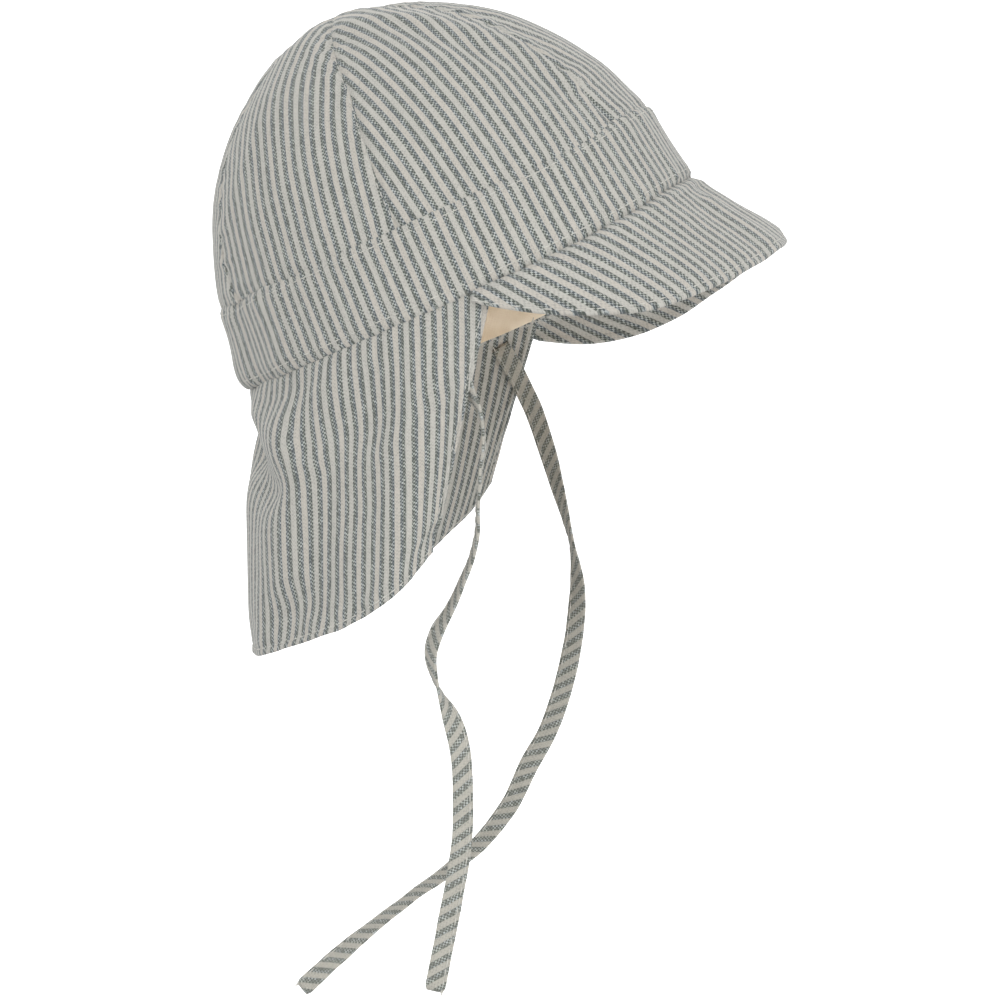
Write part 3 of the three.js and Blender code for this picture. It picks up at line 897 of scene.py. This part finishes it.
def peak(material):
    """The drooping peak, its stripes run front to back and its edge curls down."""
    columns, rows = PEAK_GRID
    angle, out = grid(PEAK_END * np.linspace(-1, 1, columns + 1), np.linspace(0, 1, rows + 1))
    base = peak_surface(angle, out)
    normal = sheet_normals(base, PEAK_CENTRE)
    grain = np.radians(between(PEAK_GRAIN, "angle", "turn", np.abs(angle)))
    seam = lengths_along(base[:1], 1)
    seam_step = np.gradient(seam[0]) * np.cos(grain[0])
    seam_run = np.cumsum(seam_step)
    seam_run = seam_run - seam_run[columns // 2]
    distance = lengths_along(base, 0)
    across = seam_run[None, :] + np.sign(angle) * np.sin(grain) * distance
    uv = np.stack([across, np.cos(grain) * distance], axis=-1)
    from_edge = distance[-1:] - distance
    relief = seam_relief(distance, seam, seed=51, share=0.5)
    relief = relief - EDGE_CURL * np.exp(-((from_edge / CURL_WIDTH) ** 2))
    relief = relief - STITCH_DENT * np.exp(-(((from_edge - STITCH_INSET) / STITCH_DENT_WIDTH) ** 2))
    ripples = creases(PEAK_CREASES, angle, out, shares=(1 / LEVEL_ANGLE, 1))
    relief = relief + ripples * np.minimum(1, out / RIPPLE_FADE)
    relief = relief + BILLOW * soft_noise(base, BILLOW_LENGTH, seed=6)
    outward = unit((base[TUCK_ROW] - base[:1]) * (1, 1, 0))
    tuck = PEAK_TUCK * np.exp(-((distance / PEAK_TUCK) ** 2))
    outer = base - outward * tuck[..., None] + normal * relief[..., None]
    inner = outer - normal * PEAK_WALL
    piece = cloth_wall("sun_peak", lean_back(outer), lean_back(inner), uv, material)
    attach(piece, "striped_cotton", "peak")
    middle = columns // 2
    row = place_from_edge(-from_edge[:, middle], -STITCH_INSET)
    stitch_rows.append(stitch_row(outer, normal, row=row))


# How sharply the flap's hem ends, its puckers, and its billows beside the crown's
HEM_SHARPNESS = 0.0004
HEM_DENT_WIDTH = 0.0008
HEM_PUCKER_SHARE = 0.6
HEM_PUCKER_LENGTH = 0.009
FLAP_BILLOW_SHARE = 1.6


def neck_flap(material):
    """The flap, with its folds, a turned hem all round and stripes that hang straight down."""
    columns, rows = FLAP_GRID
    across, down = grid(np.linspace(-1, 1, columns + 1), np.linspace(0, 1, rows + 1))
    base = flap_surface(across, down)
    axis = base * (0, 0, 1)
    normal = sheet_normals(base, axis)
    uv = cloth_uv(flap_surface(across, down, folded=0), columns // 2)
    run = lengths_along(base, 1)
    to_side = np.minimum(run, run[:, -1:] - run)
    to_hem = uv[-1:, :, 1] - uv[..., 1]
    from_edge = np.minimum(to_side, to_hem)
    hem = HEM_LIFT / (1 + np.exp((from_edge - HEM_WIDTH) / HEM_SHARPNESS))
    hem = hem - STITCH_DENT * np.exp(-(((from_edge - HEM_WIDTH) / HEM_DENT_WIDTH) ** 2))
    pucker = HEM_PUCKER_SHARE * PUCKER_HEIGHT * np.exp(-from_edge / HEM_PUCKER_LENGTH)
    pucker = pucker * line_noise(run + uv[..., 1], HEM_PUCKER_LENGTH, seed=61)
    billow = FLAP_BILLOW_SHARE * BILLOW * soft_noise(base, BILLOW_LENGTH, seed=7)
    relief = hem + (pucker + billow) * np.minimum(1, down / FOLD_FADE)
    relief = relief + seam_relief(uv[..., 1], run, seed=62, share=0.5)
    middle = base + normal * relief[..., None]
    outer = middle + normal * FLAP_WALL / 2
    inner = middle - normal * FLAP_WALL / 2
    piece = cloth_wall("flap_cloth", outer, inner, uv, material)
    attach(piece, "striped_cotton", "neck_flap")
    row = place_from_edge(-to_hem[:, columns // 3], -HEM_WIDTH)
    for sheet, way in ((outer, normal), (inner, -normal)):
        first = place_from_edge(run[rows // 2], HEM_WIDTH)
        last = columns - first
        for column in (first, last):
            stitch_rows.append((sheet[:row, column], way[:row, column]))
        stitch_rows.append((sheet[row, first:last + 1], way[row, first:last + 1]))


# Power of the steps between a route's points, which keeps its curve free of loops
ROUTE_POWER = 0.5


def route_points(route, steps):
    """Points and turns of the flat tie along a smooth curve through its route."""
    fixed = points_of(route["x"], route["y"], route["z"])
    first = 2 * fixed[0] - fixed[1]
    last = 2 * fixed[-1] - fixed[-2]
    knots = np.concatenate([[first], fixed, [last]])
    points = []
    for i in range(len(fixed) - 1):
        a, b, c, d = knots[i:i + 4]
        sides = ((a, b), (b, c), (c, d))
        gap_a, gap_b, gap_c = [np.linalg.norm(q - p) ** ROUTE_POWER for p, q in sides]
        start = ((b - a) / gap_a - (c - a) / (gap_a + gap_b) + (c - b) / gap_b) * gap_b
        end = ((c - b) / gap_b - (d - b) / (gap_b + gap_c) + (d - c) / gap_c) * gap_b
        for t in np.arange(steps) / steps:
            cube = (2 * b - 2 * c + start + end) * t**3
            square = (3 * c - 3 * b - 2 * start - end) * t**2
            points.append(cube + square + start * t + b)
    points.append(fixed[-1])
    place = np.arange(len(points)) / steps
    rows = {"place": np.arange(len(fixed)), "turn": route["turn"]}
    return np.array(points), np.radians(between(rows, "place", "turn", place))


# Grain of the ties: the stripes lie at this angle to the tie's length
TIE_GRAIN = math.radians(50)
# Stitches keep in from the tie's edge and pinch it, at a share of its thickness from the middle
TIE_EDGE = 0.0011
TIE_STITCH_SHARE = 0.36
PINCH_DEPTH = 0.3
PINCH_WIDTH = 0.0009
# Powers that round the tie's section, its uneven width and its ripples
SIDE_ROUNDING = 0.45
FACE_ROUNDING = 0.6
WAIST_SHARE = 0.02
WAIST_LENGTH = 0.02
TIE_RIPPLE = 0.00015
TIE_RIPPLE_LENGTH = 0.013
# Share of the width left at the free end and of the thickness at the sewn end, and their reach
FREE_END_SHARE = 0.8
SEWN_END_SHARE = 0.15
TIE_END_REACH = 0.004


def tie(name, node, route, lean_right, material):
    """Flat folded tie cut on the bias, with soft edges and a line of stitches along one edge."""
    points, turn = route_points(route, TIE_STEPS)
    tangent = unit(np.gradient(points, axis=0))
    flat = unit(np.cross((1.0, 0, 0), tangent))
    thick = np.cross(flat, tangent)
    cos, sin = np.cos(turn)[:, None], np.sin(turn)[:, None]
    wide = flat * cos + np.cross(tangent, flat) * sin
    deep = thick * cos + np.cross(tangent, thick) * sin
    run = lengths_along(points[:, None], 0)[:, 0]
    from_end = run[-1] - run
    side = np.arange(TIE_SIDES) * 2 * math.pi / TIE_SIDES
    across = np.sign(np.cos(side)) * np.abs(np.cos(side)) ** SIDE_ROUNDING * TIE_WIDTH / 2
    height = np.sign(np.sin(side)) * np.abs(np.sin(side)) ** FACE_ROUNDING * TIE_WALL / 2
    own = len(route["x"])
    waist = 1 - WAIST_SHARE * (1 + line_noise(run, WAIST_LENGTH, seed=71 + own))
    waist = waist * np.minimum(1, FREE_END_SHARE + from_end / TIE_END_REACH)
    ripple = TIE_RIPPLE * line_noise(run, TIE_RIPPLE_LENGTH, seed=72 + own)
    pinch = 1 - PINCH_DEPTH * np.exp(-(((across - TIE_WIDTH / 2 + TIE_EDGE) / PINCH_WIDTH) ** 2))
    surface = points[:, None] + wide[:, None] * (across[None, :] * waist[:, None])[..., None]
    flatten = np.minimum(1, SEWN_END_SHARE + run / TIE_END_REACH)[:, None]
    surface = surface + deep[:, None] * (height * pinch * flatten + ripple[:, None])[..., None]
    lean = 1 if lean_right else -1
    stripe = run[:, None] * math.sin(TIE_GRAIN) + lean * across[None, :] * math.cos(TIE_GRAIN)
    along = run[:, None] * math.cos(TIE_GRAIN) - lean * across[None, :] * math.sin(TIE_GRAIN)
    uv = np.stack([stripe, along], axis=-1)
    piece = tube_object(name, surface, uv, material)
    attach(piece, "tie_cotton", node)
    for way in (1, -1):
        line = points + wide * (TIE_WIDTH / 2 - TIE_EDGE)
        line = line + deep * (way * TIE_WALL * TIE_STITCH_SHARE) * flatten
        stitch_rows.append((line + deep * ripple[:, None], deep * way))


def tube_object(name, surface, uv, material):
    """Closed tube from rings of points, its two ends drawn to their middles."""
    rings, sides = surface.shape[:2]
    at = np.arange(rings * sides).reshape(rings, sides)
    faces = [quads_between(at)]
    half = sides // 2
    for ring in (at[0], at[-1][::-1]):
        across = ring[: half + 1]
        back = np.concatenate([ring[:1], ring[:half - 1:-1]])
        faces.append(np.stack([across[:-1], back[:-1], back[1:], across[1:]], axis=-1))
    points = surface.reshape(-1, 3)
    return solid_object(name, points, np.concatenate(faces), uv.reshape(-1, 2), material)


# One stitch as a small ball, how its size varies, and how far it stands out of the cloth
STITCH_BALL = {"Segments": 10, "Rings": 6, "Radius": 0.5}
STITCH_SCALES = (0.75, 1.15)
STITCH_RAISE = 0.15


def stitch_tree(thread):
    """Geometry Nodes that lay stitches along the lines of a mesh, each flat on the cloth."""
    tree = bpy.data.node_groups.new("Stitches", "GeometryNodeTree")
    face = tree.interface
    face.new_socket("Geometry", in_out="INPUT", socket_type="NodeSocketGeometry")
    for label in ("Pitch", "Length", "Width"):
        face.new_socket(label, in_out="INPUT", socket_type="NodeSocketFloat")
    face.new_socket("Seed", in_out="INPUT", socket_type="NodeSocketInt")
    face.new_socket("Geometry", in_out="OUTPUT", socket_type="NodeSocketGeometry")
    nodes, links = tree.nodes, tree.links
    given = nodes.new("NodeGroupInput")
    result = nodes.new("NodeGroupOutput")
    curve = nodes.new("GeometryNodeMeshToCurve")
    resample = nodes.new("GeometryNodeResampleCurve")
    resample.mode = "LENGTH"
    tangent = nodes.new("GeometryNodeInputTangent")
    lift = nodes.new("GeometryNodeInputNamedAttribute")
    lift.data_type = "FLOAT_VECTOR"
    fill(lift, {"Name": "lift"})
    along = nodes.new("FunctionNodeAlignRotationToVector")
    along.axis = "X"
    upright = nodes.new("FunctionNodeAlignRotationToVector")
    upright.axis = "Z"
    upright.pivot_axis = "X"
    stitch = nodes.new("GeometryNodeMeshUVSphere")
    fill(stitch, STITCH_BALL)
    size = nodes.new("ShaderNodeCombineXYZ")
    shape = nodes.new("GeometryNodeTransform")
    vary = nodes.new("FunctionNodeRandomValue")
    vary.data_type = "FLOAT"
    place = nodes.new("GeometryNodeInstanceOnPoints")
    real = nodes.new("GeometryNodeRealizeInstances")
    paint = nodes.new("GeometryNodeSetMaterial")
    fill(paint, {"Material": thread})
    floats = [socket for socket in vary.inputs if socket.type == "VALUE" and socket.enabled]
    for socket, scale in zip(floats, STITCH_SCALES):
        socket.default_value = scale
    wires = (
        (given, "Seed", vary, "Seed"),
        (given, "Geometry", curve, "Mesh"),
        (curve, "Curve", resample, "Curve"),
        (given, "Pitch", resample, "Length"),
        (resample, "Curve", place, "Points"),
        (tangent, "Tangent", along, "Vector"),
        (along, "Rotation", upright, "Rotation"),
        (lift, "Attribute", upright, "Vector"),
        (upright, "Rotation", place, "Rotation"),
        (given, "Length", size, "X"),
        (given, "Width", size, "Y"),
        (given, "Width", size, "Z"),
        (stitch, "Mesh", shape, "Geometry"),
        (size, "Vector", shape, "Scale"),
        (shape, "Geometry", place, "Instance"),
        (place, "Instances", real, "Geometry"),
        (real, "Geometry", paint, "Geometry"),
        (paint, "Geometry", result, "Geometry"),
    )
    for source, output, target, entry in wires:
        links.new(source.outputs[output], target.inputs[entry])
    links.new([socket for socket in vary.outputs if socket.enabled][0], place.inputs["Scale"])
    return tree


def topstitching(thread):
    """All the lines of stitches as one mesh of small threads lying on the cloth."""
    points, edges, lifts = [], [], []
    for line, lift in stitch_rows:
        start = len(points)
        points.extend((line + lift * STITCH_WIDTH * STITCH_RAISE).tolist())
        lifts.extend(lift.ravel().tolist())
        edges.extend((start + i, start + i + 1) for i in range(len(line) - 1))
    mesh = bpy.data.meshes.new("stitch_lines")
    mesh.from_pydata(points, edges, [])
    mesh.attributes.new("lift", "FLOAT_VECTOR", "POINT").data.foreach_set("vector", lifts)
    lines = add_object("stitch_lines", mesh)
    tree = stitch_tree(thread)
    modifier = lines.modifiers.new("Stitches", "NODES")
    modifier.node_group = tree
    sizes = {"Pitch": STITCH_PITCH, "Length": STITCH_LENGTH, "Width": STITCH_WIDTH, "Seed": 4}
    for item in tree.interface.items_tree:
        if item.in_out == "INPUT" and item.name in sizes:
            modifier[item.identifier] = sizes[item.name]
    graph = bpy.context.evaluated_depsgraph_get()
    made = bpy.data.meshes.new_from_object(lines.evaluated_get(graph))
    lines.modifiers.remove(modifier)
    bpy.data.objects.remove(lines)
    smooth(made)
    piece = add_object("topstitching", made)
    attach(piece, "striped_cotton")


# The camera stands on the hat's right, a little below it, at the photograph's viewing angle
CAMERA_AZIMUTH = math.radians(-82.2)
CAMERA_ELEVATION = math.radians(-1.75)
CAMERA_DISTANCE = 1.25
CAMERA_LENS = 130.93
CAMERA_SENSOR = 36
CAMERA_NEAR = 0.05
CAMERA_ACROSS = -0.0118
CAMERA_UP = 0.0767


def camera_axes():
    azimuth, elevation = CAMERA_AZIMUTH, CAMERA_ELEVATION
    level = math.cos(elevation)
    back = Vector((math.sin(azimuth) * level, -math.cos(azimuth) * level, math.sin(elevation)))
    right = Vector((math.cos(azimuth), math.sin(azimuth), 0))
    return right, back.cross(right), back


def add_camera():
    right, up, back = camera_axes()
    data = bpy.data.cameras.new("Camera")
    data.lens = CAMERA_LENS
    data.sensor_width = CAMERA_SENSOR
    data.clip_start = CAMERA_NEAR
    camera = add_object("Camera", data)
    place = CAMERA_DISTANCE * back - CAMERA_ACROSS * right - CAMERA_UP * up
    turn = Matrix((right, up, back)).transposed().to_4x4()
    camera.matrix_world = Matrix.Translation(place) @ turn
    bpy.context.scene.camera = camera


# Lights by name: to the camera's right, up, back towards the camera, size in metres, watts
LIGHTS = {
    "key": (-0.9, 1.1, 1.3, 2.2, 13.5),
    "fill": (1.2, 0.4, 1.0, 1.4, 4),
    "bounce": (0.5, -0.6, 0.9, 1.0, 4.5),
    "far": (-0.1, 0.6, -1.7, 1.4, 9),
    "rim": (0.2, 1.4, -1.0, 1.2, 2.5),
}
WORLD_ABOVE = 0.78
WORLD_BELOW = 0.6

# White sweep: its flat radius, the radius of its bend, its wall, and the share of rows each takes
FLOOR_HEIGHT = -0.2505
FLOOR_GRID = (96, 40)
FLOOR_RADIUS = 2.6
FLOOR_BEND = 0.8
WALL_HEIGHT = 3.4
FLAT_SHARE = 0.5
BEND_SHARE = 0.2
WALL_SHARE = 0.3
FLOOR_LOOKS = {
    "Base Color": (0.9, 0.9, 0.9, 1),
    "Roughness": 0.9,
    "Emission Color": (1, 1, 1, 1),
    "Emission Strength": 0.8,
}


def add_lights():
    right, up, back = camera_axes()
    for name, (across, above, behind, size, watts) in LIGHTS.items():
        data = bpy.data.lights.new(name, "AREA")
        data.shape = "DISK"
        data.size = size
        data.energy = watts
        lamp = add_object(name, data)
        place = right * across + Vector((0, 0, above)) + back * behind
        lamp.location = place
        lamp.rotation_euler = place.to_track_quat("Z", "Y").to_euler()
    world = bpy.data.worlds.new("Studio")
    world.use_nodes = True
    nodes, links = world.node_tree.nodes, world.node_tree.links
    background = nodes["Background"]
    fill(background, {"Color": (1, 1, 1, 1)})
    direction = nodes.new("ShaderNodeTexCoord")
    height = nodes.new("ShaderNodeSeparateXYZ")
    strength = nodes.new("ShaderNodeMapRange")
    fill(strength, {"From Min": -1, "From Max": 1, "To Min": WORLD_BELOW, "To Max": WORLD_ABOVE})
    links.new(direction.outputs["Generated"], height.inputs[0])
    links.new(height.outputs["Z"], strength.inputs["Value"])
    links.new(strength.outputs["Result"], background.inputs["Strength"])
    bpy.context.scene.world = world


def add_floor():
    """Plain white sweep: a floor well below the hat that turns up into a wall on every side."""
    columns, rows = FLOOR_GRID
    share = np.linspace(0, 1, rows + 1)[:, None]
    bend = np.clip((share - FLAT_SHARE) / BEND_SHARE, 0, 1) * math.pi / 2
    on_wall = np.clip((share - FLAT_SHARE - BEND_SHARE) / WALL_SHARE, 0, 1)
    reach = FLOOR_RADIUS * np.minimum(share / FLAT_SHARE, 1) + FLOOR_BEND * np.sin(bend)
    rise = FLOOR_BEND * (1 - np.cos(bend)) + WALL_HEIGHT * on_wall
    turn = np.arange(columns) * 2 * math.pi / columns
    points = points_of(reach * np.cos(turn), reach * np.sin(turn), rise + FLOOR_HEIGHT)
    at = np.arange((rows + 1) * columns).reshape(rows + 1, columns)
    faces = quads_between(at)[columns:]
    mesh = bpy.data.meshes.new("floor")
    mesh.from_pydata(points.reshape(-1, 3).tolist(), [], faces.tolist() + [at[1][::-1].tolist()])
    smooth(mesh)
    shader = Shader("pale_floor")
    surface = shader.nodes.new("ShaderNodeBsdfPrincipled")
    fill(surface, FLOOR_LOOKS)
    mesh.materials.append(shader.show(surface))
    floor = add_object("floor", mesh)
    floor.visible_diffuse = False
    floor.visible_shadow = False


add_camera()
cotton = striped_cotton("striped_cotton", (BLUE_DARK, GREEN_DARK), (WARM_LIGHT, COOL_LIGHT))
# The ties' cloth carries painted light in its dark stripes and painted shade in its light stripes
tie_cotton = striped_cotton("tie_cotton", (TIE_DARK_WITH_PAINTED_LIGHT, TIE_DARK_WITH_PAINTED_LIGHT), (TIE_LIGHT_WITH_PAINTED_SHADE, TIE_LIGHT_WITH_PAINTED_SHADE))
tie("tie_right_cloth", "tie_right", TIE_RIGHT, True, tie_cotton)
tie("tie_left_cloth", "tie_left", TIE_LEFT, False, tie_cotton)
for gore in range(GORE_COUNT):
    crown_panel(gore, cotton)
band(cotton)
peak(cotton)
neck_flap(cotton)
lining(cream_cotton("lining_cotton"))
topstitching(sewing_thread("sewing_thread"))
add_floor()
add_lights()
bpy.context.scene.view_settings.view_transform = "Standard"
